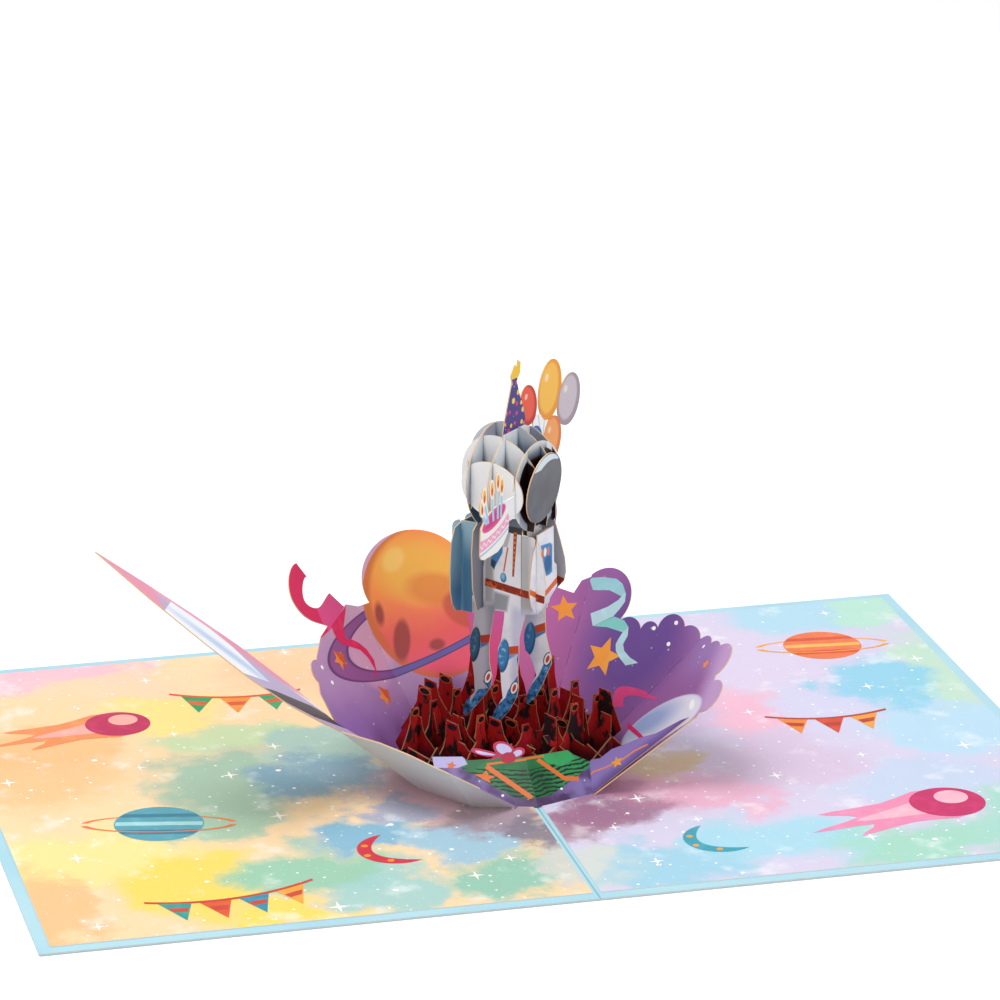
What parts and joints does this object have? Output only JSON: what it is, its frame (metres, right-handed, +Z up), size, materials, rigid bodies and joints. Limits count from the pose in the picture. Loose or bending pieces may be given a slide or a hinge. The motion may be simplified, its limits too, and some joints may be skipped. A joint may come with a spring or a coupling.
{
  "type": "pop up card",
  "caption": "Opened greeting card with a paper pop up: an astronaut of crossing slices with party hat, cake and balloons stands in a faceted bowl on pastel pages.",
  "frame": {"origin": "centre of the opened card's underside, on the line of the fold", "axes": "+X across the right page, +Y along the fold towards the back edge, +Z up out of the pages"},
  "size_m": [0.254, 0.178, 0.1016],
  "materials": {
    "cover_card": "satin coated card, pale blue",
    "page_left_print": "coated paper, peach to mint wash",
    "page_right_print": "coated paper, lilac to mint wash",
    "bowl_left_print": "heavy paper, purple print inside, plain outside",
    "bowl_right_print": "heavy paper, purple print inside, plain outside",
    "gift_print": "heavy paper, green and purple print",
    "backpack_print": "heavy paper, blue grey print",
    "suit_print": "heavy paper, pale grey print",
    "helmet_print": "heavy paper, pale grey print",
    "visor_print": "heavy paper, dark grey print",
    "chest_print": "heavy paper, white print",
    "ground_print": "heavy paper, dark red print, tan cut edges"
  },
  "bodies": {
    "root": {"cover": "cover_card", "liner_left": "page_left_print", "liner_right": "page_right_print", "bowl_wall_left": "bowl_left_print", "bowl_wall_right": "bowl_right_print", "front_panel": "gift_print", "backpack_slice": "backpack_print", "figure_slice_back": "suit_print", "figure_slice_mid": "suit_print", "figure_slice_front": "suit_print", "helmet_back_disc": "helmet_print", "visor": "visor_print", "chest_panel": "chest_print", "helmet_slice_near": "helmet_print", "figure_slice_left": "suit_print", "figure_slice_right": "suit_print", "far_arm_slice": "suit_print", "bed_slat_a1": "ground_print", "bed_slat_a2": "ground_print", "bed_slat_a3": "ground_print", "bed_slat_a4": "ground_print", "bed_slat_a5": "ground_print", "bed_slat_a6": "ground_print", "bed_slat_b1": "ground_print", "bed_slat_b2": "ground_print", "bed_slat_b3": "ground_print", "bed_slat_b4": "ground_print", "bed_slat_b5": "ground_print", "bed_slat_b6": "ground_print", "bed_slat_b7": "ground_print"}
  },
  "joints": []
}
